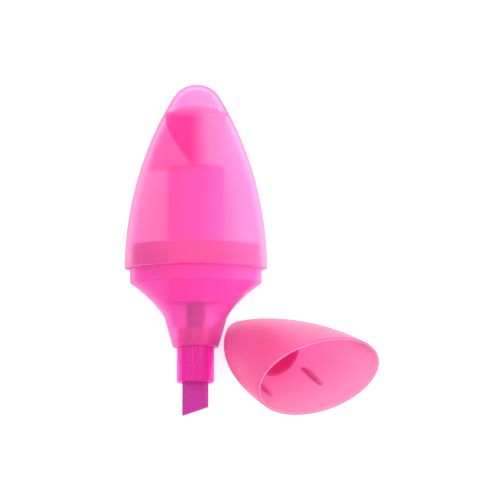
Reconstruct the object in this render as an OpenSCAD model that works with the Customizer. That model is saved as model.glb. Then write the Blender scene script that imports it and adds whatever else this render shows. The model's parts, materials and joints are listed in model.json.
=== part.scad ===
// Bullet-shaped highlighter with an oval body, shown open with its push-on cap beside it.
// Pen pieces are drawn upright on their own axis: the lip plane is z = 0, the closed end of the
// barrel is +z and the nib is -z. The cap is drawn with its mouth at z = 0 and its closed end at +z.

/* [Body] */
// Width of the barrel at its lip
body_width = 28.5; // [27:0.5:32]
// Front-to-back thickness of the barrel at its lip
body_depth = 15.2; // [15:0.1:17]
// Length of the barrel from the lip to the closed end
barrel_length = 37.8; // [36:0.2:44]
// Radius of the barrel's rounded end, seen from the front
barrel_nose = 5.5; // [5:0.1:7]
// Wall of the barrel
barrel_wall = 1.08; // [1.06:0.02:1.2]

/* [Thumb facet] */
// Distance of the facet's pointed start from the lip
facet_start = 19.5; // [18:0.1:21]
// Slope of the facet against the pen's axis at its start, in degrees
facet_slope = 9; // [8:0.5:11]
// How much steeper the facet gets over each millimetre of its length
facet_curve = 0.02; // [0.01:0.002:0.022]
// Distance of the facet's end ledge from the lip
facet_end = 32.2; // [30:0.2:32.4]

/* [Front section] */
// Length of the spigot inside the barrel
spigot_length = 4.6; // [3:0.2:6]
// Length of the collar that holds the cap
collar_length = 2.9; // [2:0.1:4]
// Distance of the funnel's narrow end from the lip
neck_end = 15.8; // [15:0.1:16.2]
// Outer radius of the round neck
neck_radius = 4.55; // [4.5:0.01:4.6]

/* [Nib] */
// Outer radius of the nib holder
holder_radius = 3.75; // [3.6:0.01:3.78]
// Distance of the holder's open end from the lip
holder_end = 22.8; // [21:0.1:23]
// Number of air grooves inside the holder
groove_count = 7; // [5:1:9]
// Width of the nib
nib_width = 5.15; // [4.8:0.05:5.3]
// Thickness of the nib
nib_depth = 3.4; // [3:0.1:3.6]
// Distance of the nib's longest corner from the lip
nib_tip = 29.4; // [28:0.1:29.4]
// Slant of the writing edge, in degrees
nib_slant = 19; // [15:1:24]

/* [Ink reservoir] */
// Width of the wrapped reservoir
reservoir_width = 11.6; // [10:0.1:11.8]
// Thickness of the wrapped reservoir
reservoir_depth = 8.4; // [8:0.1:8.4]
// Distance of the reservoir's rear end from the lip
reservoir_rear = 20.3; // [16:0.1:20.4]
// Distance of the reservoir's front end from the lip
reservoir_front = 7; // [6:0.1:7.2]

/* [Cap] */
// Width of the cap at its mouth
cap_width = 27.4; // [27:0.1:28]
// Thickness of the cap at its mouth
cap_depth = 14.8; // [14.6:0.1:15.2]
// Length of the cap
cap_length = 31.4; // [31.2:0.1:33]
// Radius of the cap's rounded end, seen from the front
cap_nose = 3.8; // [3.6:0.1:4.6]
// Wall of the cap
cap_wall = 0.5; // [0.45:0.05:0.6]

/* [Layout] */
// Tilt of the pen as it lies on its broad side with the nib raised, in degrees
pen_tilt = 3; // [1:0.5:6]
// Place of the lip's centre across and along the surface
lip_place = [-10.75, -4.05];
// Place of the cap's mouth centre across and along the surface
cap_place = [13.25, -26.35];
// Turns of the cap about the X, Y and Z axes, in that order
cap_turns = [-151.4, 27.5, 14.5];

/* [Hidden] */
$fn = 96;

fit_gap = 0.05;
seat_gap = 0.03;
cut = 1;

half_width = body_width / 2;
half_depth = body_depth / 2;
body_ratio = body_depth / body_width;
bore_width = half_width - barrel_wall;
bore_depth = half_depth - barrel_wall;

collar_width = cap_width / 2 - cap_wall - fit_gap;
collar_depth = cap_depth / 2 - cap_wall - fit_gap;
front_wall = 0.9;
collar_edge = 0.4;
collar_round = 0.15;
funnel_power = 2.15;
cone_share = 0.415;
funnel_steps = 12;
inner_funnel_steps = 8;
ring_sides = 44;

flange_radius = 4.0;
flange_top = 12.2;
flange_seat = 12.9;
flange_lead = 0.2;
holder_bore = 3.25;
holder_chamfer = 0.35;
groove_width = 1.0;
groove_depth = 0.25;
groove_length = 3.4;
groove_phase = -106.6;

nib_shoulder = 14.2;
nib_chamfer = 0.8;
nib_edge = 1.1;
nib_bevel = 4;
tail_radius = 1.8;
tail_depth_in_core = 2.6;

film_thickness = 0.18;
film_space = film_thickness + 0.02;

ledge_rise = 0.8;
least_floor = 0.3;
hair = 0.001;
side_steps = 12;
nose_steps = 6;

cap_half_width = cap_width / 2;
cap_half_depth = cap_depth / 2;
cap_ratio = cap_depth / cap_width;
cap_end_wall = 0.6;
rib_thickness = 0.7;
rib_side = 5.6;
rib_start = 8;
rib_length = 7;
rib_rise = 1.3;
rib_cover = 0.6;
seal_radius = 5.2;
seal_bore = 4.62;
seal_start = 15.5;
relief_start = 17;
relief_length = 7;
relief_middle_share = 0.76;
relief_end_share = 0.4;

// Radius of the side arc that is upright at the mouth and runs smoothly into the nose
function side_radius(width, length, nose) =
    (width * width + (length - nose) * (length - nose) - nose * nose) / (2 * (width - nose));

pen_arc = side_radius(half_width, barrel_length, barrel_nose);
cap_arc = side_radius(cap_half_width, cap_length, cap_nose);

// Height of the pen's lip centre above the surface, with the broad side resting on it
rest_angle = atan(tan(pen_tilt) / body_ratio);
rest_depth = body_ratio * (half_width - pen_arc + pen_arc * cos(rest_angle));
lip_height = rest_depth * cos(pen_tilt) + pen_arc * sin(rest_angle) * sin(pen_tilt);

// Height of the cap's mouth centre above the surface, with the rounded end resting on it
cap_down = [
    sin(cap_turns[1]),
    -cos(cap_turns[1]) * sin(cap_turns[0]),
    -cos(cap_turns[1]) * cos(cap_turns[0])
];
cap_height = (cap_length - cap_nose) * cap_down[2]
    + cap_nose * norm([cap_down[0], cap_ratio * cap_down[1], cap_down[2]]);

// Side arc angle at which it meets the nose arc
function joint_angle(radius, length, nose) = asin((length - nose) / (radius - nose));

// Half-widths and heights up a bullet's outline, from the mouth to just short of its tip
function bullet_outline(width, length, nose, extra = []) =
    let (
        radius = side_radius(width, length, nose),
        lean = joint_angle(radius, length, nose),
        side = [for (i = [0 : side_steps]) radius * sin(lean * i / side_steps)],
        heights = sorted([each side, each extra])
    )
    [
        for (z = heights) [width - radius + sqrt(radius * radius - z * z), z],
        for (i = [1 : nose_steps - 1])
            let (a = lean + (90 - lean) * i / nose_steps)
            [nose * cos(a), length - nose + nose * sin(a)]
    ];

function sorted(list) =
    len(list) < 2 ? list :
    let (pivot = list[floor(len(list) / 2)])
    [
        each sorted([for (v = list) if (v < pivot) v]),
        pivot,
        each sorted([for (v = list) if (v > pivot) v])
    ];

// Rings of an oval bullet, as [half-width, half-depth, height]
function bullet_rings(width, depth, length, nose, extra = []) =
    [for (p = bullet_outline(width, length, nose, extra)) [p[0], p[0] * depth / width, p[1]]];

function reversed(list) = [for (i = [len(list) - 1 : -1 : 0]) list[i]];

// Distance of the facet's floor from the pen's axis at height z, set in by a given amount
facet_arc_depth = body_ratio * (half_width - pen_arc + sqrt(pen_arc * pen_arc - facet_start * facet_start));
function facet_drop(along) = along * (tan(facet_slope) + facet_curve * along);
function facet_floor(z, inset) =
    z < facet_start || z > facet_end + inset / 2 + hair ? body_depth
    : max(least_floor, facet_arc_depth - facet_drop(z - facet_start) - inset);

// Points of one oval ring whose front is cut back to the facet's floor
function oval_ring(ring, floor_depth = body_depth) = [
    for (i = [0 : ring_sides - 1])
        let (a = (i + 0.5) * 360 / ring_sides)
        [ring[0] * cos(a), max(-floor_depth, ring[1] * sin(a)), ring[2]]
];

// Two triangles for each side between neighbouring rings of points
function band_faces(r, next_r) = [
    for (i = [0 : ring_sides - 1])
        let (j = (i + 1) % ring_sides, here = r * ring_sides, next = next_r * ring_sides)
        each [[here + i, here + j, next + j], [here + i, next + j, next + i]]
];

// One closed skin round every ring in turn, the last joined to the first
module ring_skin(rings) {
    count = len(rings);
    polyhedron(
        points = [for (ring = rings) each oval_ring(ring)],
        faces = [for (r = [0 : count - 1]) each band_faces(r, (r + 1) % count)]
    );
}

// A cup: rings of points up the outside, with an outer tip, and down the inside, with an inner tip
module cup_skin(outer, outer_tip, inner, inner_tip) {
    rings = [each reversed(outer), each inner];
    count = len(rings);
    tip = count * ring_sides;
    polyhedron(
        points = [for (ring = rings) each ring, [0, 0, outer_tip], [0, 0, inner_tip]],
        faces = [
            for (i = [0 : ring_sides - 1]) [tip, (i + 1) % ring_sides, i],
            for (r = [0 : count - 2]) each band_faces(r, r + 1),
            for (i = [0 : ring_sides - 1])
                [tip + 1, tip - ring_sides + i, tip - ring_sides + (i + 1) % ring_sides]
        ]
    );
}

// Barrel rings with the facet cut back: a ledge closes the facet at its upper end
function barrel_rings(width, depth, length, nose, inset) =
    let (ledge = facet_end + inset / 2)
    [
        for (ring = bullet_rings(width, depth, length, nose, [facet_start, ledge, ledge + ledge_rise]))
            oval_ring(ring, facet_floor(ring[2], inset))
    ];

module barrel() {
    color([0.98, 0.40, 0.70])
        cup_skin(
            barrel_rings(half_width, half_depth, barrel_length, barrel_nose, 0),
            barrel_length,
            barrel_rings(
                bore_width, bore_depth, barrel_length - barrel_wall, barrel_nose - barrel_wall, barrel_wall
            ),
            barrel_length - barrel_wall
        );
}

// Bar with a flattened round section
module flat_bar(width, depth, length) {
    side = (width - depth) / 2;
    for (x = [-side, side])
        translate([x, 0, 0])
            cylinder(h = length, r = depth / 2);
    translate([-side, -depth / 2, 0])
        cube([2 * side, depth, length]);
}

// Half-width, half-depth and height of the funnel at a share t of its length: a curve, then a cone
function funnel_share(t) = max(pow(1 - t, funnel_power), cone_share * (1 - t));
function funnel_ring(t, inset) = [
    neck_radius + (collar_width - neck_radius) * funnel_share(t) - inset,
    neck_radius + (collar_depth - neck_radius) * funnel_share(t) - inset,
    -collar_length - (neck_end - collar_length) * t
];

// The spigot narrows along the bore's own side arc
bore_arc = side_radius(bore_width, barrel_length - barrel_wall, barrel_nose - barrel_wall);
spigot_end_width = bore_width - fit_gap - bore_arc
    + sqrt(bore_arc * bore_arc - spigot_length * spigot_length);
front_rings = [
    [spigot_end_width, spigot_end_width * bore_depth / bore_width, spigot_length],
    [bore_width - fit_gap, bore_depth - fit_gap, 0],
    [collar_width, collar_depth, 0],
    [collar_width, collar_depth, -collar_length + collar_edge],
    for (i = [0 : funnel_steps]) funnel_ring(i / funnel_steps, i == 0 ? collar_round : 0),
    [holder_radius + seat_gap, holder_radius + seat_gap, -neck_end],
    [holder_radius + seat_gap, holder_radius + seat_gap, -flange_seat],
    [flange_radius + seat_gap, flange_radius + seat_gap, -flange_seat],
    [flange_radius + seat_gap, flange_radius + seat_gap, -flange_top + flange_lead],
    for (i = [inner_funnel_steps : -1 : 0]) funnel_ring(i / funnel_steps, front_wall),
    [bore_width - fit_gap - front_wall, bore_depth - fit_gap - front_wall, 0],
    [bore_width - fit_gap - front_wall, bore_depth - fit_gap - front_wall, spigot_length]
];

module front_section() {
    color([0.98, 0.38, 0.68])
        ring_skin(front_rings);
}

module nib_holder() {
    color([0.97, 0.28, 0.70])
        difference() {
            rotate_extrude()
                polygon([
                    [holder_bore, -holder_end],
                    [holder_radius - holder_chamfer, -holder_end],
                    [holder_radius, -holder_end + holder_chamfer],
                    [holder_radius, -flange_seat + seat_gap],
                    [flange_radius, -flange_seat + seat_gap],
                    [flange_radius, -flange_top],
                    [holder_bore, -flange_top]
                ]);
            for (i = [0 : groove_count - 1])
                rotate([0, 0, groove_phase + i * 360 / groove_count])
                    translate([holder_bore - cut, -groove_width / 2, -neck_end - groove_length])
                        cube([cut + groove_depth, groove_width, groove_length]);
        }
}

// Outline of the nib's cross-section: a rectangle with its corners taken off
module nib_section() {
    x = nib_width / 2;
    y = nib_depth / 2;
    c = nib_chamfer;
    polygon([
        [x - c, -y],
        [x, -y + c],
        [x, y - c],
        [x - c, y],
        [-x + c, y],
        [-x, y - c],
        [-x, -y + c],
        [-x + c, -y]
    ]);
}

module nib() {
    reach = nib_tip - nib_shoulder;
    color([0.80, 0.17, 0.64]) {
        difference() {
            translate([0, 0, -nib_tip])
                linear_extrude(reach)
                    nib_section();
            // slanted writing edge
            translate([-nib_width / 2, 0, -nib_tip])
                rotate([0, -nib_slant, 0])
                    translate([-nib_width, -nib_depth, -nib_width])
                        cube([3 * nib_width, 2 * nib_depth, nib_width]);
            // bevels that thin the nib towards the edge
            for (side = [-1, 1])
                scale([1, side, 1])
                    translate([-nib_width, 0, -nib_tip])
                        rotate([90, 0, 90])
                            linear_extrude(2 * nib_width)
                                polygon([
                                    [nib_edge / 2, 0],
                                    [nib_depth / 2, nib_bevel],
                                    [nib_depth, nib_bevel],
                                    [nib_depth, -cut],
                                    [nib_edge / 2, -cut]
                                ]);
        }
        translate([0, 0, -nib_shoulder])
            cylinder(h = nib_shoulder - reservoir_front + tail_depth_in_core, r = tail_radius);
    }
}

module reservoir_core() {
    length = reservoir_rear + reservoir_front;
    color([0.93, 0.16, 0.62])
        difference() {
            translate([0, 0, -reservoir_front])
                flat_bar(reservoir_width - 2 * film_space, reservoir_depth - 2 * film_space, length);
            translate([0, 0, -reservoir_front - cut])
                cylinder(h = tail_depth_in_core + cut + fit_gap, r = tail_radius + seat_gap);
        }
}

module reservoir_film() {
    length = reservoir_rear + reservoir_front;
    color([0.96, 0.30, 0.66, 0.5])
        difference() {
            translate([0, 0, -reservoir_front])
                flat_bar(reservoir_width, reservoir_depth, length);
            translate([0, 0, -reservoir_front - cut])
                flat_bar(
                    reservoir_width - 2 * film_thickness,
                    reservoir_depth - 2 * film_thickness,
                    length + 2 * cut
                );
        }
}

module cap_shell() {
    outer = bullet_rings(cap_half_width, cap_half_depth, cap_length, cap_nose);
    inner_length = cap_length - cap_end_wall;
    inner = bullet_rings(
        cap_half_width - cap_wall, cap_half_depth - cap_wall, inner_length, cap_nose - cap_wall
    );
    color([0.99, 0.42, 0.66]) {
        cup_skin(
            [for (ring = outer) oval_ring(ring)], cap_length,
            [for (ring = inner) oval_ring(ring)], inner_length
        );
        for (x = [-rib_side, rib_side], side = [0, 1])
            translate([x, 0, 0])
                mirror([0, side, 0])
                    guide_rib();
    }
}

// Distance from the cap's axis, at height z, of a guide rib's root inside the broad wall
function rib_root(z) =
    let (w = cap_half_width - cap_arc + sqrt(cap_arc * cap_arc - z * z))
    cap_ratio * w * sqrt(1 - pow(rib_side / w, 2)) - rib_cover * cap_wall;

module guide_rib() {
    rib_end = rib_start + rib_length;
    rotate([90, 0, 90])
        linear_extrude(rib_thickness, center = true)
            polygon([
                [rib_root(rib_start) - rib_rise, rib_start],
                [rib_root(rib_start), rib_start],
                [rib_root(rib_end), rib_end],
                [rib_root(rib_end) - rib_rise, rib_end]
            ]);
}

// Half of the liner's tube is cut away deeper in, where the cap's broad walls close in on it
module liner_relief() {
    rotate([90, 0, 90])
        linear_extrude(4 * seal_radius, center = true)
            polygon([
                [seal_radius, relief_start],
                [relief_middle_share * seal_radius, relief_start + relief_length / 2],
                [relief_end_share * seal_radius, relief_start + relief_length],
                [relief_end_share * seal_radius, cap_length],
                [2 * seal_radius, cap_length],
                [2 * seal_radius, relief_start]
            ]);
}

module cap_seal_liner() {
    color([0.99, 0.34, 0.64])
        difference() {
            translate([0, 0, seal_start])
                cylinder(h = relief_start + relief_length - seal_start, r = seal_radius);
            translate([0, 0, seal_start - cut])
                cylinder(h = cap_length, r = seal_bore);
            liner_relief();
            mirror([0, 1, 0]) liner_relief();
        }
}

module pen_place() {
    translate([lip_place[0], lip_place[1], lip_height])
        rotate([-90 - pen_tilt, 0, 0])
            children();
}

module cap_place_on_surface() {
    translate([cap_place[0], cap_place[1], cap_height])
        rotate(cap_turns)
            children();
}

pen_place() barrel();
pen_place() front_section();
pen_place() nib_holder();
pen_place() nib();
pen_place() reservoir_core();
pen_place() reservoir_film();
cap_place_on_surface() cap_shell();
cap_place_on_surface() cap_seal_liner();
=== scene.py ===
import json
import math

import bmesh
import bpy
from mathutils import Euler, Matrix, Vector


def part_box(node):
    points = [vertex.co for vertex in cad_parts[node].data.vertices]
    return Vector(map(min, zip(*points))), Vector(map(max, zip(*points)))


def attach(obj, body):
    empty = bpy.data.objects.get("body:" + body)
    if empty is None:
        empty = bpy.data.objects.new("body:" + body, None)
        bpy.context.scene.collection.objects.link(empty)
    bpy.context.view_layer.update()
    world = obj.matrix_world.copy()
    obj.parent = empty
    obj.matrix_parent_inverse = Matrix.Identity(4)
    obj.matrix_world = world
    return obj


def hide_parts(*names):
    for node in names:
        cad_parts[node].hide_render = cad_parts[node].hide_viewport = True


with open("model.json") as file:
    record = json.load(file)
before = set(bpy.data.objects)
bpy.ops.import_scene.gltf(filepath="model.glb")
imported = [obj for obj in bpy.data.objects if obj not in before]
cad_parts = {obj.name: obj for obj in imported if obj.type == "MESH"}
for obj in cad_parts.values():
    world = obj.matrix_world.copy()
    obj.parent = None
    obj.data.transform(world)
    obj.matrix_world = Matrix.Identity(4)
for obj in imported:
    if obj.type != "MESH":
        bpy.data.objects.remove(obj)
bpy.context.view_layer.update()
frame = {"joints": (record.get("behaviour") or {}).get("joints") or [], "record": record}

# ---------------------------------------------------------------- driving sizes, in millimetres and degrees
# Each pen piece is built on the pen's own axis: the lip plane is z = 0, the closed end +z, the nib -z.
# The cap is built with its mouth at z = 0 and its closed end at +z.
MM = 0.001

BODY_WIDTH, BODY_DEPTH, BODY_LENGTH, BODY_NOSE, BODY_WALL = 28.5, 15.2, 37.8, 5.5, 1.08
FACET_START, FACET_END, FACET_SLOPE, FACET_CURVE = 19.5, 32.2, 9.0, 0.02
LEDGE_SOFT_RISE, LEAST_FLOOR, CREASE = 3.2, 0.3, 0.15
CAP_WIDTH, CAP_DEPTH, CAP_LENGTH, CAP_NOSE, CAP_WALL, CAP_END_WALL = 27.4, 14.8, 31.4, 3.8, 0.5, 0.6
CAP_TURNS = (-151.4, 27.5, 14.5)
FIT_GAP, SEAT_GAP = 0.05, 0.03

SPIGOT, COLLAR, NECK_END, NECK_RADIUS, FRONT_WALL = 4.6, 2.9, 15.8, 4.55, 0.9
FUNNEL_POWER, CONE_SHARE = 2.15, 0.415
HOLDER_RADIUS, HOLDER_BORE, HOLDER_END = 3.75, 3.25, 22.8
FLANGE_RADIUS, FLANGE_TOP, FLANGE_SEAT = 4.0, 12.2, 12.9
GROOVES, GROOVE_DEPTH, GROOVE_LENGTH, GROOVE_PHASE = 7, 0.25, 3.4, -106.6
NIB_WIDTH, NIB_DEPTH, NIB_TIP, NIB_SLANT, NIB_SHOULDER = 5.15, 3.4, 29.4, 19.0, 14.2
NIB_CHAMFER, NIB_EDGE, NIB_BEVEL, TAIL_RADIUS, TAIL_IN_CORE = 0.8, 1.1, 4.0, 1.8, 2.6
CORE_WIDTH, CORE_DEPTH, CORE_REAR, CORE_FRONT, FILM = 11.6, 8.4, 20.3, 7.0, 0.18
RIB_SIDE, RIB_START, RIB_LENGTH, RIB_RISE, RIB_THICKNESS, RIB_COVER = 5.6, 8.0, 7.0, 1.3, 0.7, 0.6
SEAL_RADIUS, SEAL_BORE, SEAL_START, RELIEF_START, RELIEF_LENGTH = 5.2, 4.62, 15.5, 17.0, 7.0
RELIEF_MIDDLE_SHARE, RELIEF_END_SHARE = 0.76, 0.4

# Softened corners and edges; of a cup's rim, only corners that turn by more than RIM_TURN are softened
LIP_ROUND, FRONT_ROUND, HOLDER_ROUND, CAP_RIM_ROUND, RIM_TURN = 0.22, 0.28, 0.3, 0.16, 60
NIB_ROUND, RIB_ROUND, GROOVE_EDGE, SEAL_LIP = 0.14, 0.12, 0.06, 0.1

# How finely the oval skins are divided
SIDES = 144
SIDE_STEPS = 56
NOSE_STEPS = 18


# ---------------------------------------------------------------- outlines and rings
def side_radius(width, length, nose):
    """Radius of the side arc that is upright at the mouth and runs smoothly into the nose."""
    return (width**2 + (length - nose) ** 2 - nose**2) / (2 * (width - nose))


def half_width_at(z, width, length, nose):
    """Half-width of the side arc at a height, where width is its half-width at the mouth."""
    arc = side_radius(width, length, nose)
    return width - arc + math.sqrt(arc**2 - z**2)


def bullet(width, depth, length, nose, extra=()):
    """Rings (half-width, half-depth, height) up a bullet from its mouth to just short of its tip."""
    arc = side_radius(width, length, nose)
    joint = math.asin((length - nose) / (arc - nose))
    heights = [arc * math.sin(joint * i / SIDE_STEPS) for i in range(SIDE_STEPS + 1)]
    outline = [(half_width_at(z, width, length, nose), z) for z in sorted([*heights, *extra])]
    for i in range(1, NOSE_STEPS):
        turn = joint + (math.pi / 2 - joint) * i / NOSE_STEPS
        outline.append((nose * math.cos(turn), length - nose + nose * math.sin(turn)))
    return [(w, w * depth / width, z) for w, z in outline]


def softened(profile, radius, closed=False, sharpest=22.0, steps=4):
    """A profile with its corners rounded off: each corner sharper than the given turn becomes a curve."""
    points = [Vector(p) for p in profile]
    count = len(points)
    most_share = 0.45
    rounded = []
    for i, here in enumerate(points):
        before = points[(i - 1) % count] - here
        after = points[(i + 1) % count] - here
        at_end = not closed and i in (0, count - 1)
        if at_end or before.length == 0 or after.length == 0:
            rounded.append(here)
            continue
        turn = 180 - math.degrees(before.angle(after))
        if turn < sharpest:
            rounded.append(here)
            continue
        start = here + before.normalized() * min(radius, most_share * before.length)
        end = here + after.normalized() * min(radius, most_share * after.length)
        for k in range(steps + 1):
            t = k / steps
            rounded.append(start * (1 - t) ** 2 + here * 2 * t * (1 - t) + end * t**2)
    return [tuple(p) for p in rounded]


def oval(ring, cut=None):
    """Points round one oval ring. cut(depth, height) may press the front side back."""
    a, b, z = ring
    points = []
    for i in range(SIDES):
        turn = 2 * math.pi * i / SIDES
        y = b * math.sin(turn)
        if cut and y < 0:
            y = -cut(-y, z)
        points.append((a * math.cos(turn), y, z))
    return points


def soft_min(a, b, blend):
    """The smaller of two values, with a smooth change where they are closer than the blend."""
    share = max(0.0, min(1.0, 0.5 + 0.5 * (b - a) / blend))
    return b * (1 - share) + a * share - blend * share * (1 - share)


def facet_cut(inset):
    """The thumb facet: a sloping hollow that ends in a soft ledge, set in by the wall on the inside."""
    ratio = BODY_DEPTH / BODY_WIDTH
    half_width = half_width_at(FACET_START, BODY_WIDTH / 2, BODY_LENGTH, BODY_NOSE)
    ledge = FACET_END + inset / 2 - LEDGE_SOFT_RISE / 2

    def cut(depth, z):
        past = z - FACET_START
        slope = math.tan(math.radians(FACET_SLOPE)) + FACET_CURVE * max(0.0, past)
        floor = max(LEAST_FLOOR, ratio * half_width - past * slope - inset)
        if z > ledge:
            rise = min(1.0, (z - ledge) / LEDGE_SOFT_RISE)
            full = ratio * half_width_at(z, BODY_WIDTH / 2, BODY_LENGTH, BODY_NOSE) + CREASE
            floor += (full - floor) * rise**2 * (3 - 2 * rise)
        return soft_min(depth, floor, CREASE)

    return cut


# ---------------------------------------------------------------- meshes
OWN_PLACE = "own_place"
CUT_BACK = "cut_back"
LINING = "lining"


def new_piece(name, points, faces, sharp=32.0):
    """A mesh object in metres from points in millimetres, smooth but for its sharp edges."""
    weld_distance = 1e-7
    mesh = bpy.data.meshes.new(name)
    mesh.from_pydata([Vector(p) * MM for p in points], [], faces)
    mesh.validate()
    shape = bmesh.new()
    shape.from_mesh(mesh)
    bmesh.ops.remove_doubles(shape, verts=shape.verts, dist=weld_distance)
    bmesh.ops.recalc_face_normals(shape, faces=shape.faces)
    shape.to_mesh(mesh)
    shape.free()
    mesh.polygons.foreach_set("use_smooth", [True] * len(mesh.polygons))
    mesh.set_sharp_from_angle(angle=math.radians(sharp))
    piece = bpy.data.objects.new(name, mesh)
    bpy.context.scene.collection.objects.link(piece)
    return piece


def keep_own_place(mesh):
    """Keeps each point's place on the piece's own axis, which the materials read, before the piece moves."""
    own = mesh.attributes.new(OWN_PLACE, "FLOAT_VECTOR", "POINT")
    for vertex in mesh.vertices:
        own.data[vertex.index].vector = vertex.co


def band(first, second, count):
    """Faces between two rings of points that start at the given indices."""
    return [
        (first + i, first + (i + 1) % count, second + (i + 1) % count, second + i) for i in range(count)
    ]


def loop_piece(name, rings, **options):
    """A ring-shaped skin: every ring is joined to the next, and the last to the first."""
    count = len(rings[0])
    points = [p for ring in rings for p in ring]
    faces = []
    for r in range(len(rings)):
        faces += band(r * count, (r + 1) % len(rings) * count, count)
    return new_piece(name, points, faces, **options)


def cup_piece(name, rings, outer_tip, inner_tip):
    """A cup: rings from near the outer tip, down over the rim and up to near the inner tip."""
    count = len(rings[0])
    points = [p for ring in rings for p in ring]
    faces = []
    for r in range(len(rings) - 1):
        faces += band(r * count, (r + 1) * count, count)
    tip = len(points)
    points += [(0, 0, outer_tip), (0, 0, inner_tip)]
    last = tip - count
    for i in range(count):
        after = (i + 1) % count
        faces.append((tip, after, i))
        faces.append((tip + 1, last + i, last + after))
    return new_piece(name, points, faces)


def make_barrel():
    """The barrel with its facet; it also keeps how far the facet lies in from the full oval."""
    ledge_lead, ledge_step, ledge_count = 1.5, 0.2, 16
    ledge_rings = [FACET_END - ledge_lead + ledge_step * i for i in range(ledge_count)]
    outer = bullet(BODY_WIDTH / 2, BODY_DEPTH / 2, BODY_LENGTH, BODY_NOSE, extra=ledge_rings)
    inner = bullet(
        BODY_WIDTH / 2 - BODY_WALL,
        BODY_DEPTH / 2 - BODY_WALL,
        BODY_LENGTH - BODY_WALL,
        BODY_NOSE - BODY_WALL,
        extra=[z + BODY_WALL / 2 for z in ledge_rings],
    )
    outer_cut, inner_cut = facet_cut(0), facet_cut(BODY_WALL)
    rings = [oval(ring, outer_cut) for ring in reversed(outer[1:])]
    rim = softened([outer[1], outer[0], inner[0], inner[1]], LIP_ROUND, sharpest=RIM_TURN)
    rings += [oval(ring) for ring in rim]
    rings += [oval(ring, inner_cut) for ring in inner[1:]]
    barrel = cup_piece("barrel_shell", rings, BODY_LENGTH, BODY_LENGTH - BODY_WALL)
    cut_back = barrel.data.attributes.new(CUT_BACK, "FLOAT", "POINT")
    for vertex in barrel.data.vertices:
        x, y, z = vertex.co / MM
        if y < 0 and FACET_START < z < FACET_END + LEDGE_SOFT_RISE / 2:
            width = half_width_at(z, BODY_WIDTH / 2, BODY_LENGTH, BODY_NOSE)
            full_depth = BODY_DEPTH / BODY_WIDTH * math.sqrt(max(0.0, width**2 - x**2))
            cut_back.data[vertex.index].value = max(0.0, full_depth + y) * MM
    return barrel


def funnel_ring(share, inset, wide, deep):
    """The funnel's half-width, half-depth and height at a share of its length: a curve, then a cone."""
    spread = max((1 - share) ** FUNNEL_POWER, CONE_SHARE * (1 - share))
    return (
        NECK_RADIUS + (wide - NECK_RADIUS) * spread - inset,
        NECK_RADIUS + (deep - NECK_RADIUS) * spread - inset,
        -COLLAR - (NECK_END - COLLAR) * share,
    )


def make_front_section():
    bore = (BODY_WIDTH / 2 - BODY_WALL, BODY_DEPTH / 2 - BODY_WALL)
    narrow = half_width_at(SPIGOT, bore[0], BODY_LENGTH - BODY_WALL, BODY_NOSE - BODY_WALL) - FIT_GAP
    wide = CAP_WIDTH / 2 - CAP_WALL - FIT_GAP
    deep = CAP_DEPTH / 2 - CAP_WALL - FIT_GAP
    steps = 40
    inner_share = 2 / 3
    flange_lead = 0.2
    seat = HOLDER_RADIUS + SEAT_GAP
    flange = FLANGE_RADIUS + SEAT_GAP
    profile = [(narrow, narrow * bore[1] / bore[0], SPIGOT)]
    profile.append((bore[0] - FIT_GAP, bore[1] - FIT_GAP, 0))
    profile.append((wide, deep, 0))
    profile += [funnel_ring(i / steps, 0, wide, deep) for i in range(steps + 1)]
    profile += [(seat, seat, -NECK_END), (seat, seat, -FLANGE_SEAT)]
    profile += [(flange, flange, -FLANGE_SEAT), (flange, flange, -FLANGE_TOP + flange_lead)]
    shares = [inner_share * i / steps for i in range(steps, -1, -1)]
    profile += [funnel_ring(share, FRONT_WALL, wide, deep) for share in shares]
    inner = (bore[0] - FIT_GAP - FRONT_WALL, bore[1] - FIT_GAP - FRONT_WALL)
    profile += [(*inner, 0), (*inner, SPIGOT)]
    rings = [oval(ring) for ring in softened(profile, FRONT_ROUND, closed=True)]
    return loop_piece("front_section_shell", rings)


def make_nib_holder():
    """The holder's tube and flange, with its bore's points pushed out along the air grooves."""
    seat = -FLANGE_SEAT + SEAT_GAP
    groove_top, groove_bottom = -NECK_END, -NECK_END - GROOVE_LENGTH
    profile = [
        (HOLDER_BORE, -HOLDER_END),
        (HOLDER_RADIUS, -HOLDER_END),
        (HOLDER_RADIUS, seat),
        (FLANGE_RADIUS, seat),
        (FLANGE_RADIUS, -FLANGE_TOP),
        (HOLDER_BORE, -FLANGE_TOP),
    ]
    ring_profile = softened([(r, r, z) for r, z in profile], HOLDER_ROUND, closed=True)
    stations = [groove_top + GROOVE_EDGE, groove_top, groove_bottom, groove_bottom - GROOVE_EDGE]
    ring_profile += [(HOLDER_BORE, HOLDER_BORE, z) for z in stations]
    sides_per_groove = 24
    sides = GROOVES * sides_per_groove
    width_share = 0.34
    rings = []
    for radius, _, z in ring_profile:
        ring = []
        grooved = groove_bottom <= z <= groove_top and radius == HOLDER_BORE
        for i in range(sides):
            turn = 2 * math.pi * i / sides + math.radians(GROOVE_PHASE)
            pitch = (i / sides * GROOVES + width_share / 2) % 1
            deeper = GROOVE_DEPTH if grooved and pitch < width_share else 0
            r = radius + deeper
            ring.append((r * math.cos(turn), r * math.sin(turn), z))
        rings.append(ring)
    return loop_piece("nib_holder_tube", rings, sharp=28)


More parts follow.
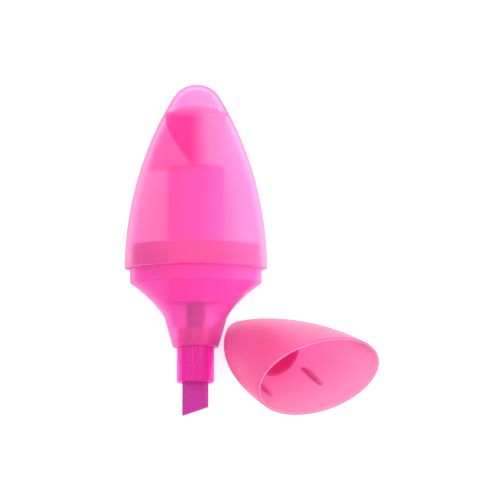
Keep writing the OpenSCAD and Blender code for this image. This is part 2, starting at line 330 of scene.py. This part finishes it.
def make_nib():
    """The chisel nib: layers of its chamfered section, slanted and thinned towards the writing edge."""
    x, y, c = NIB_WIDTH / 2, NIB_DEPTH / 2, NIB_CHAMFER
    section = [(x - c, -y), (x, -y + c), (x, y - c), (x - c, y)]
    section += [(-a, -b) for a, b in section]
    layers = 12
    crowding = 1.6
    rings = []
    for k in range(layers + 1):
        ring = []
        for px, py in section:
            low = -NIB_TIP + (px + x) * math.tan(math.radians(NIB_SLANT))
            z = low + (-NIB_SHOULDER - low) * (k / layers) ** crowding
            height = z + NIB_TIP
            limit = NIB_EDGE / 2 + (y - NIB_EDGE / 2) * min(1.0, height / NIB_BEVEL)
            ring.append((px, max(-limit, min(limit, py)), z))
        rings.append(ring)
    points = [p for ring in rings for p in ring]
    count = len(section)
    faces = [tuple(range(count - 1, -1, -1))]
    for r in range(layers):
        faces += band(r * count, (r + 1) * count, count)
    faces.append(tuple(range(layers * count, (layers + 1) * count)))
    piece = new_piece("nib_chisel", points, faces, sharp=25)
    bevel = piece.modifiers.new("soft_edges", "BEVEL")
    bevel.width = NIB_ROUND * MM
    bevel.segments = 3
    bevel.limit_method = "ANGLE"
    bevel.angle_limit = math.radians(20)
    return piece


def rod(name, radius, low, high, sides=48, edge=0.2):
    """A round rod with softened ends."""
    profile = [(radius - edge, low), (radius, low + edge), (radius, high - edge), (radius - edge, high)]
    points = []
    for r, z in profile:
        for i in range(sides):
            turn = 2 * math.pi * i / sides
            points.append((r * math.cos(turn), r * math.sin(turn), z))
    faces = [tuple(range(sides))]
    for r in range(len(profile) - 1):
        faces += band(r * sides, (r + 1) * sides, sides)
    last = (len(profile) - 1) * sides
    faces.append(tuple(range(last, last + sides)))
    return new_piece(name, points, faces)


def flat_ring(width, depth, z, sides=96):
    """Points round a bar's section: two half circles joined by straight sides."""
    radius, side = depth / 2, (width - depth) / 2
    ring = []
    for i in range(sides):
        turn = 2 * math.pi * (i + 0.5) / sides
        x = radius * math.cos(turn) + math.copysign(side, math.cos(turn))
        ring.append((x, radius * math.sin(turn), z))
    return ring


def make_core():
    """The fibre bundle, with softly rounded ends."""
    film_gap = 0.02
    space = 2 * (FILM + film_gap)
    width, depth = CORE_WIDTH - space, CORE_DEPTH - space
    edge, near_edge, near_inset = 0.5, 0.15, 0.1
    stations = [(-CORE_FRONT, edge), (-CORE_FRONT + near_edge, near_inset), (-CORE_FRONT + edge, 0)]
    stations += [(CORE_REAR - edge, 0), (CORE_REAR - near_edge, near_inset), (CORE_REAR, edge)]
    rings = [flat_ring(width - 2 * inset, depth - 2 * inset, z) for z, inset in stations]
    count = len(rings[0])
    points = [p for ring in rings for p in ring]
    faces = [tuple(range(count))]
    for r in range(len(rings) - 1):
        faces += band(r * count, (r + 1) * count, count)
    faces.append(tuple(range((len(rings) - 1) * count, len(rings) * count)))
    return new_piece("reservoir_fibres", points, faces)


def make_film():
    """The film wrapped round the fibres, drawn in a little at both ends."""
    inner_width, inner_depth = CORE_WIDTH - 2 * FILM, CORE_DEPTH - 2 * FILM
    end, draw = 0.3, 0.03
    stations = [(-CORE_FRONT, draw), (-CORE_FRONT + end, 0), (CORE_REAR - end, 0), (CORE_REAR, draw)]
    rings = [flat_ring(CORE_WIDTH - 2 * s, CORE_DEPTH - 2 * s, z) for z, s in stations]
    rings += [flat_ring(inner_width, inner_depth, z) for z, _ in reversed(stations)]
    return loop_piece("reservoir_wrap", rings)


def cap_half_width_at(z):
    return half_width_at(z, CAP_WIDTH / 2, CAP_LENGTH, CAP_NOSE)


def make_cap():
    """The cap's shell; it also marks which points are on the inner side."""
    outer = bullet(CAP_WIDTH / 2, CAP_DEPTH / 2, CAP_LENGTH, CAP_NOSE)
    inner_tip = CAP_LENGTH - CAP_END_WALL
    inner = bullet(CAP_WIDTH / 2 - CAP_WALL, CAP_DEPTH / 2 - CAP_WALL, inner_tip, CAP_NOSE - CAP_WALL)
    profile = softened([*reversed(outer), *inner], CAP_RIM_ROUND, sharpest=RIM_TURN)
    rings = [oval(ring) for ring in profile]
    skin = cup_piece("cap_skin", rings, CAP_LENGTH, inner_tip)
    lining = skin.data.attributes.new(LINING, "FLOAT", "POINT")
    for vertex in skin.data.vertices:
        x, y, z = vertex.co / MM
        out = math.hypot(x, y * CAP_WIDTH / CAP_DEPTH)
        if out < cap_half_width_at(z) - CAP_WALL / 2:
            lining.data[vertex.index].value = 1.0
    return skin


def make_rib(name, x, side):
    """One guide rib on a broad wall of the cap, rooted inside the wall and lower towards both ends."""
    ratio = CAP_DEPTH / CAP_WIDTH
    rows = 8
    least_rise, swell = 0.3, 0.6
    points = []
    for k in range(rows + 1):
        z = RIB_START + RIB_LENGTH * k / rows
        w = cap_half_width_at(z)
        root = ratio * w * math.sqrt(1 - (RIB_SIDE / w) ** 2) - RIB_COVER * CAP_WALL
        rise = RIB_RISE * (least_rise + swell * math.sin(math.pi * (k + 0.5) / (rows + 1)))
        for dx, y in ((-1, root), (1, root), (1, root - rise), (-1, root - rise)):
            points.append((x + dx * RIB_THICKNESS / 2, side * y, z))
    faces = [(0, 1, 2, 3)]
    for k in range(rows):
        faces += band(4 * k, 4 * k + 4, 4)
    faces.append(tuple(4 * rows + i for i in range(4)))
    rib = new_piece(name, points, faces)
    bevel = rib.modifiers.new("soft_edges", "BEVEL")
    bevel.width = RIB_ROUND * MM
    bevel.segments = 2
    return rib


def make_seal():
    """The sealing tube inside the cap, cut away deeper in where the broad walls close in on it."""
    end = RELIEF_START + RELIEF_LENGTH
    steps = 24
    sides = 128
    stations = [SEAL_START + (end - SEAL_START) * k / steps for k in range(steps + 1)]

    def reach(z):
        """How far from the axis the tube may stand at this height on the cap's broad side."""
        if z <= RELIEF_START:
            return SEAL_RADIUS
        halves = 2 * (z - RELIEF_START) / RELIEF_LENGTH
        if halves < 1:
            return SEAL_RADIUS * (1 + (RELIEF_MIDDLE_SHARE - 1) * halves)
        return SEAL_RADIUS * (RELIEF_MIDDLE_SHARE + (RELIEF_END_SHARE - RELIEF_MIDDLE_SHARE) * (halves - 1))

    def ring(radius, z):
        points = []
        for i in range(sides):
            turn = 2 * math.pi * i / sides
            y = radius * math.sin(turn)
            limit = reach(z) * radius / SEAL_RADIUS
            points.append((radius * math.cos(turn), max(-limit, min(limit, y)), z))
        return points

    rings = [ring(SEAL_RADIUS, z) for z in stations]
    rings += [ring(SEAL_BORE, z) for z in reversed(stations)]
    rings.append(ring(SEAL_BORE + SEAL_LIP, SEAL_START))
    return loop_piece("cap_seal_tube", rings)


# ---------------------------------------------------------------- materials
# Tints of the see-through plastics, from the deepest to the palest, and of the inked fibres; the cap's mouth
# tint is painted shade, and its lining tint and the pale wrap pink are painted light
DEEP = (0.97, 0.02, 0.38)
CLEAR = (0.94, 0.53, 0.76)
FUNNEL_TINT = (0.94, 0.30, 0.72)
HOLDER_TINTS = ((0.98, 0.07, 0.58), (0.99, 0.12, 0.68))
CAP_TINT = (0.97, 0.24, 0.54)
CAP_MOUTH_PAINTED_SHADE = (0.92, 0.15, 0.40)
CAP_LINING_PAINTED_LIGHT = (0.86, 0.52, 0.66)
NIB_INK = ((0.43, 0.008, 0.24), (0.52, 0.014, 0.30))
FIBRE_INK = ((0.97, 0.006, 0.52), (0.98, 0.012, 0.62))
WRAPPED_INK = ((0.97, 0.006, 0.48), (0.98, 0.012, 0.58))
PAINTED_LIGHT_PINK = (0.95, 0.24, 0.62)
# Dye inside the plastic, a weak painted glow that stands in for the fluorescence of the plastic and ink, and
# the tint of its gloss
DYE = (1.0, 0.05, 0.75)
PAINTED_GLOW = (0.8, 0.015, 0.36)
GLOSS_TINT = (1.0, 0.35, 0.7)
FLOOR_WHITES = ((0.88, 0.88, 0.88), (0.92, 0.92, 0.92))


class Paint:
    """A material under construction: its nodes, and the few node patterns that the plastics share."""

    def __init__(self, name):
        self.material = bpy.data.materials.new(name)
        self.material.use_nodes = True
        self.nodes = self.material.node_tree.nodes
        self.links = self.material.node_tree.links
        self.shader = self.nodes["Principled BSDF"]
        self.place = self.kept(OWN_PLACE).outputs["Vector"]

    def set(self, **values):
        """Uniform values on the shader's own sockets."""
        for socket, value in values.items():
            self.shader.inputs[socket.replace("_", " ")].default_value = value

    def feed(self, socket, value):
        self.links.new(value, self.shader.inputs[socket])

    def kept(self, name):
        """A node that reads what the mesh keeps under this name."""
        node = self.nodes.new("ShaderNodeAttribute")
        node.attribute_name = name
        return node

    def along(self, axis):
        """The place on one of the piece's own axes."""
        parts = self.nodes.new("ShaderNodeSeparateXYZ")
        self.links.new(self.place, parts.inputs["Vector"])
        return parts.outputs[axis]

    def stretched(self, scale):
        mapping = self.nodes.new("ShaderNodeMapping")
        mapping.inputs["Scale"].default_value = scale
        self.links.new(self.place, mapping.inputs["Vector"])
        return mapping.outputs["Vector"]

    def noise(self, scale, detail=3.0, place=None):
        node = self.nodes.new("ShaderNodeTexNoise")
        node.inputs["Scale"].default_value = scale
        node.inputs["Detail"].default_value = detail
        self.links.new(place or self.place, node.inputs["Vector"])
        return node.outputs["Fac"]

    def between(self, value, colours, low=0.3, high=0.7):
        """The first colour up to the low value, the second from the high value on."""
        node = self.nodes.new("ShaderNodeValToRGB")
        for element, position, colour in zip(node.color_ramp.elements, (low, high), colours):
            element.position = position
            element.color = (*colour, 1)
        self.links.new(value, node.inputs["Fac"])
        return node.outputs["Color"]

    def span(self, value, low, high):
        node = self.nodes.new("ShaderNodeMapRange")
        node.inputs["To Min"].default_value = low
        node.inputs["To Max"].default_value = high
        self.links.new(value, node.inputs["Value"])
        return node.outputs["Result"]

    def bump(self, value, depth_mm, strength):
        node = self.nodes.new("ShaderNodeBump")
        node.inputs["Strength"].default_value = strength
        node.inputs["Distance"].default_value = depth_mm * MM
        self.links.new(value, node.inputs["Height"])
        self.links.new(node.outputs["Normal"], self.shader.inputs["Normal"])

    def blended(self, colour, other, share):
        """A colour that goes over to another by a share."""
        node = self.nodes.new("ShaderNodeMix")
        node.data_type = "RGBA"
        self.links.new(share, node.inputs["Factor"])
        self.links.new(colour, node.inputs["A"])
        node.inputs["B"].default_value = (*other, 1)
        return node.outputs["Result"]

    def fade(self, value, start, end):
        """0 at the start, 1 at the end, both in millimetres, and smooth between."""
        node = self.nodes.new("ShaderNodeMapRange")
        node.interpolation_type = "SMOOTHSTEP"
        node.inputs["From Min"].default_value = start * MM
        node.inputs["From Max"].default_value = end * MM
        self.links.new(value, node.inputs["Value"])
        return node.outputs["Result"]

    def product(self, *values):
        result = values[0]
        for value in values[1:]:
            node = self.nodes.new("ShaderNodeMath")
            node.operation = "MULTIPLY"
            self.links.new(result, node.inputs[0])
            if isinstance(value, float):
                node.inputs[1].default_value = value
            else:
                self.links.new(value, node.inputs[1])
            result = node.outputs[0]
        return result

    def right_painted_light_share(self):
        """How far to the right a point of the wrapped fibres is, where the film is painted paler as painted
        light from the right.
        """
        return self.fade(self.along("X"), start=0.0, end=5.0)

    def painted_mouth_share(self):
        """How near a point is to the cap's mouth, where the outside is painted darker as painted shade."""
        return self.fade(self.along("Z"), start=20.0, end=3.0)

    def lining_painted_light_share(self):
        """The same, but only on the wall's inner side, where the lining is painted paler as painted light.
        """
        return self.product(self.painted_mouth_share(), self.kept(LINING).outputs["Fac"])

    def facet_painted_shade_share(self):
        """How deep the painted shade is on the facet: deepest on the left, away from the light on the right,
        and none past its end; it also stands in for the deeper tint of thicker plastic.
        """
        deepest = 0.85
        on_facet = self.fade(self.kept(CUT_BACK).outputs["Fac"], start=0.003, end=0.05)
        left = self.fade(self.along("X"), start=3.2, end=-1.6)
        below_end = self.fade(self.along("Z"), start=FACET_END + 0.8, end=FACET_END - 1.6)
        return self.product(on_facet, left, below_end, deepest)

    def dyed(self, strength):
        """Dye all through the plastic: the colour deepens with the length that one looks through."""
        node = self.nodes.new("ShaderNodeVolumeAbsorption")
        node.inputs["Color"].default_value = (*DYE, 1)
        node.inputs["Density"].default_value = strength
        self.links.new(node.outputs["Volume"], self.nodes["Material Output"].inputs["Volume"])


def mixed(a, b, share):
    return tuple(p * (1 - share) + q * share for p, q in zip(a, b))


def frosted(name, tint, see_through, frost, dye=100.0, painted_facet_shade=False, painted_mouth_tints=None):
    """Frosted, tinted, translucent plastic: a fine moulded grain over a slow drift of colour, with a faint
    painted glow; it may add painted shade on the facet, and painted shade outside and painted light on the
    lining near a cap's mouth.
    """
    drift_scale, cloud_scale, grain_scale = 95.0, 800.0, 2600.0
    deeper_share, frost_range = 0.06, 0.04
    paint = Paint(name)
    drift = paint.noise(drift_scale, detail=2.0)
    colour = paint.between(drift, (mixed(tint, DEEP, deeper_share), tint))
    if painted_facet_shade:
        # Painted shade: the facet's left half is deepened, away from the light on the right; partly also the
        # deeper tint of thicker plastic.
        colour = paint.blended(colour, DEEP, paint.facet_painted_shade_share())
    if painted_mouth_tints:
        # Painted shade darkens the outside near the mouth; painted light makes the lining paler there.
        outside, inside = painted_mouth_tints
        colour = paint.blended(colour, outside, paint.painted_mouth_share())
        colour = paint.blended(colour, inside, paint.lining_painted_light_share())
    paint.feed("Base Color", colour)
    clouds = paint.noise(cloud_scale)
    paint.feed("Roughness", paint.span(clouds, low=frost - frost_range, high=frost + frost_range))
    paint.bump(paint.noise(grain_scale, detail=2.0), depth_mm=0.008, strength=0.3)
    paint.set(Transmission_Weight=see_through, IOR=1.4, Coat_Weight=0.15, Coat_Roughness=0.42)
    paint.set(Specular_IOR_Level=0.3, Specular_Tint=(*GLOSS_TINT, 1))
    # A faint painted glow, standing in for the plastic's fluorescence.
    paint.set(Emission_Color=(*PAINTED_GLOW, 1), Emission_Strength=0.05)
    paint.dyed(dye)
    return paint.material


def holder_plastic():
    """Smoother tinted plastic of the nib holder, with faint lines drawn along it."""
    paint = Paint("tinted_holder_plastic")
    lines = paint.noise(scale=900.0, place=paint.stretched((1, 1, 0.05)))
    paint.feed("Base Color", paint.between(lines, HOLDER_TINTS))
    paint.feed("Roughness", paint.span(lines, low=0.12, high=0.22))
    paint.bump(lines, depth_mm=0.01, strength=0.4)
    paint.set(Transmission_Weight=0.75, IOR=1.3, Specular_Tint=(*GLOSS_TINT, 1))
    # A faint painted glow, standing in for the plastic's fluorescence.
    paint.set(Emission_Color=(*PAINTED_GLOW, 1), Emission_Strength=0.08)
    return paint.material


def nib_fibre():
    """Pressed fibre soaked with ink: fine fibres along the nib, and pores."""
    paint = Paint("inked_nib")
    fibres = paint.noise(scale=5200.0, detail=4.0, place=paint.stretched((1, 1, 0.12)))
    paint.feed("Base Color", paint.between(fibres, NIB_INK))
    paint.feed("Roughness", paint.span(fibres, low=0.5, high=0.75))
    paint.bump(fibres, depth_mm=0.012, strength=0.5)
    return paint.material


def core_fibre():
    """Fibre bundle soaked with ink, streaked along its length."""
    paint = Paint("inked_fibres")
    fibres = paint.noise(scale=1500.0, detail=4.0, place=paint.stretched((1, 1, 0.02)))
    paint.feed("Base Color", paint.between(fibres, FIBRE_INK, low=0.25, high=0.75))
    paint.feed("Roughness", paint.span(fibres, low=0.6, high=0.85))
    paint.bump(fibres, depth_mm=0.03, strength=0.6)
    return paint.material


def wrap_film():
    """Thin film drawn tight over the fibres: their streaks show through it, under faint wrinkles; its right
    side is painted paler, as painted light.
    """
    paint = Paint("wrap_film")
    streaks = paint.noise(scale=1500.0, place=paint.stretched((1, 1, 0.02)))
    wrinkles = paint.noise(scale=300.0, place=paint.stretched((1, 1, 0.2)))
    inked = paint.between(streaks, WRAPPED_INK)
    # Painted light: the film's right side goes over to a paler pink.
    paint.feed("Base Color", paint.blended(inked, PAINTED_LIGHT_PINK, paint.right_painted_light_share()))
    paint.feed("Roughness", paint.span(wrinkles, low=0.3, high=0.45))
    paint.bump(wrinkles, depth_mm=0.05, strength=0.4)
    # A painted glow, standing in for the ink's fluorescence, deepens the pink band.
    paint.set(Specular_IOR_Level=0.1, Emission_Color=(*PAINTED_GLOW, 1), Emission_Strength=0.3)
    return paint.material


def lit_floor():
    """White acrylic lit from below, with a faint grain."""
    paint = Paint("lit_white_acrylic")
    grain = paint.noise(scale=300.0)
    paint.feed("Base Color", paint.between(grain, FLOOR_WHITES))
    paint.set(Roughness=0.9, Emission_Color=(1, 1, 1, 1), Emission_Strength=0.45)
    return paint.material


# ---------------------------------------------------------------- places, from the frame
def pen_place():
    """The lip's centre, and the pen's axis from the nib to the closed end."""
    joint = next(j for j in frame["joints"] if j["name"] == "cap_pull")
    lip = next(m for m in frame["record"]["mounts"] if m["name"] == "lip_shoulder")
    low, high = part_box("barrel")
    along = -Vector(joint["axis"]).normalized()
    across = Vector((1, 0, 0))
    down = along.cross(across)
    turn = Matrix((across, down, along)).transposed().to_4x4()
    centre = Vector(((low[0] + high[0]) / 2, lip["pos_m"][1], lip["pos_m"][2]))
    return Matrix.Translation(centre) @ turn


def cap_place(cap):
    """The cap's turn, moved so that the skin's middle meets the middle of the CAD cap's box."""
    turn = Euler([math.radians(a) for a in CAP_TURNS]).to_matrix().to_4x4()
    turned = [turn @ vertex.co for vertex in cap.data.vertices]
    low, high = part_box("cap_shell")
    middle = Vector((0, 0, 0))
    for k in range(3):
        values = [p[k] for p in turned]
        middle[k] = (low[k] + high[k]) / 2 - (min(values) + max(values)) / 2
    return Matrix.Translation(middle) @ turn


def finished(piece, place, body, nodes, material):
    """Moves a piece's mesh to its place and says what it rides on and which nodes it replaces."""
    keep_own_place(piece.data)
    piece.data.transform(place)
    piece.data.materials.append(material)
    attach(piece, body)
    if nodes:
        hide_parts(*nodes)


def make_pen():
    place = pen_place()
    # The barrel gets painted shade on the left half of its facet.
    body = frosted("frosted_barrel", CLEAR, see_through=0.93, frost=0.36, painted_facet_shade=True)
    front = frosted("frosted_front", FUNNEL_TINT, see_through=0.9, frost=0.33)
    nib = nib_fibre()
    overlap = 0.5
    tail_ends = (-NIB_SHOULDER - overlap, -CORE_FRONT + TAIL_IN_CORE)
    parts = [
        (make_barrel(), "frosted_body", ["barrel"], body),
        (make_front_section(), "frosted_front", ["front_section"], front),
        (make_nib_holder(), "tinted_holder", ["nib_holder"], holder_plastic()),
        (make_nib(), "ink_nib", ["nib"], nib),
        (rod("nib_tail", TAIL_RADIUS, *tail_ends), "ink_nib", [], nib),
        (make_core(), "ink_fibre", ["reservoir_core"], core_fibre()),
        (make_film(), "film", ["reservoir_film"], wrap_film()),
    ]
    for piece, slot, nodes, material in parts:
        finished(piece, place, "pen", nodes, material)


def make_open_cap():
    skin = make_cap()
    place = cap_place(skin)
    look = {"see_through": 0.66, "frost": 0.42}
    # Painted shade outside the mouth, and painted light on the lining.
    painted_mouth_tints = (CAP_MOUTH_PAINTED_SHADE, CAP_LINING_PAINTED_LIGHT)
    plastic = frosted("frosted_cap", CAP_TINT, dye=80.0, painted_mouth_tints=painted_mouth_tints, **look)
    finished(skin, place, "cap", ["cap_shell"], plastic)
    # The ribs' tint is partly the lining's painted light.
    rib_tint = mixed(CAP_TINT, CAP_LINING_PAINTED_LIGHT, share=0.45)
    rib_plastic = frosted("frosted_rib", rib_tint, dye=40.0, **look)
    for x in (-1, 1):
        for side in (-1, 1):
            name = f"cap_rib_{'left' if x < 0 else 'right'}_{'upper' if side < 0 else 'lower'}"
            finished(make_rib(name, x * RIB_SIDE, side), place, "cap", [], rib_plastic)
    liner_tint = mixed(CAP_TINT, DEEP, share=0.5)
    liner = frosted("frosted_liner", liner_tint, see_through=0.7, frost=0.4, dye=120.0)
    finished(make_seal(), place, "cap", ["cap_seal_liner"], liner)


# ---------------------------------------------------------------- studio
def make_floor():
    """A pale square under the object, a hair below the surface that it stands on."""
    size = 600
    steps = 12
    hair = 0.02
    points = []
    for i in range(steps + 1):
        for j in range(steps + 1):
            points.append(((i / steps - 0.5) * size, (j / steps - 0.5) * size, -hair))
    faces = []
    row = steps + 1
    for i in range(steps):
        for j in range(steps):
            here = i * row + j
            faces.append((here, here + row, here + row + 1, here + 1))
    floor = new_piece("floor", points, faces)
    keep_own_place(floor.data)
    floor.data.materials.append(lit_floor())


def area_light(name, place, size, power):
    """A square lamp, in metres and watts, that looks at the object."""
    data = bpy.data.lights.new(name, "AREA")
    data.shape = "SQUARE"
    data.size = size
    data.energy = power
    light = bpy.data.objects.new(name, data)
    light.location = place
    light.rotation_euler = (-Vector(place)).to_track_quat("-Z", "Y").to_euler()
    bpy.context.scene.collection.objects.link(light)


def make_studio():
    """A white studio whose right side is one big softbox, with two soft lamps."""
    edge, full = 0.1, 0.85
    left_strength, right_strength = 0.85, 1.7
    world = bpy.data.worlds.new("soft_white")
    world.use_nodes = True
    nodes, links = world.node_tree.nodes, world.node_tree.links
    background = nodes["Background"]
    background.inputs["Color"].default_value = (1, 1, 1, 1)
    parts = nodes.new("ShaderNodeSeparateXYZ")
    links.new(nodes.new("ShaderNodeTexCoord").outputs["Generated"], parts.inputs["Vector"])
    softbox = nodes.new("ShaderNodeMapRange")
    softbox.interpolation_type = "SMOOTHSTEP"
    softbox.inputs["From Min"].default_value = edge
    softbox.inputs["From Max"].default_value = full
    softbox.inputs["To Min"].default_value = left_strength
    softbox.inputs["To Max"].default_value = right_strength
    links.new(parts.outputs["X"], softbox.inputs["Value"])
    links.new(softbox.outputs["Result"], background.inputs["Strength"])
    bpy.context.scene.world = world
    area_light("key_right", (0.32, 0.02, 0.22), size=0.3, power=0.8)
    area_light("fill_top", (-0.08, 0.16, 0.45), size=0.35, power=0.6)


def make_camera():
    """A long lens almost straight above, leaning a little towards the nib's end."""
    lean = math.radians(6.5)
    distance = 0.4
    target = Vector((0.00005, -0.000245, 0.0075))
    data = bpy.data.cameras.new("camera")
    data.lens = 144
    data.sensor_width = 36
    camera = bpy.data.objects.new("camera", data)
    camera.location = target + distance * Vector((0, -math.sin(lean), math.cos(lean)))
    camera.rotation_euler = (lean, 0, 0)
    bpy.context.scene.collection.objects.link(camera)
    bpy.context.scene.camera = camera


make_camera()
make_studio()
make_floor()
make_pen()
make_open_cap()
bpy.context.scene.view_settings.view_transform = "Standard"

bpy.context.view_layer.update()
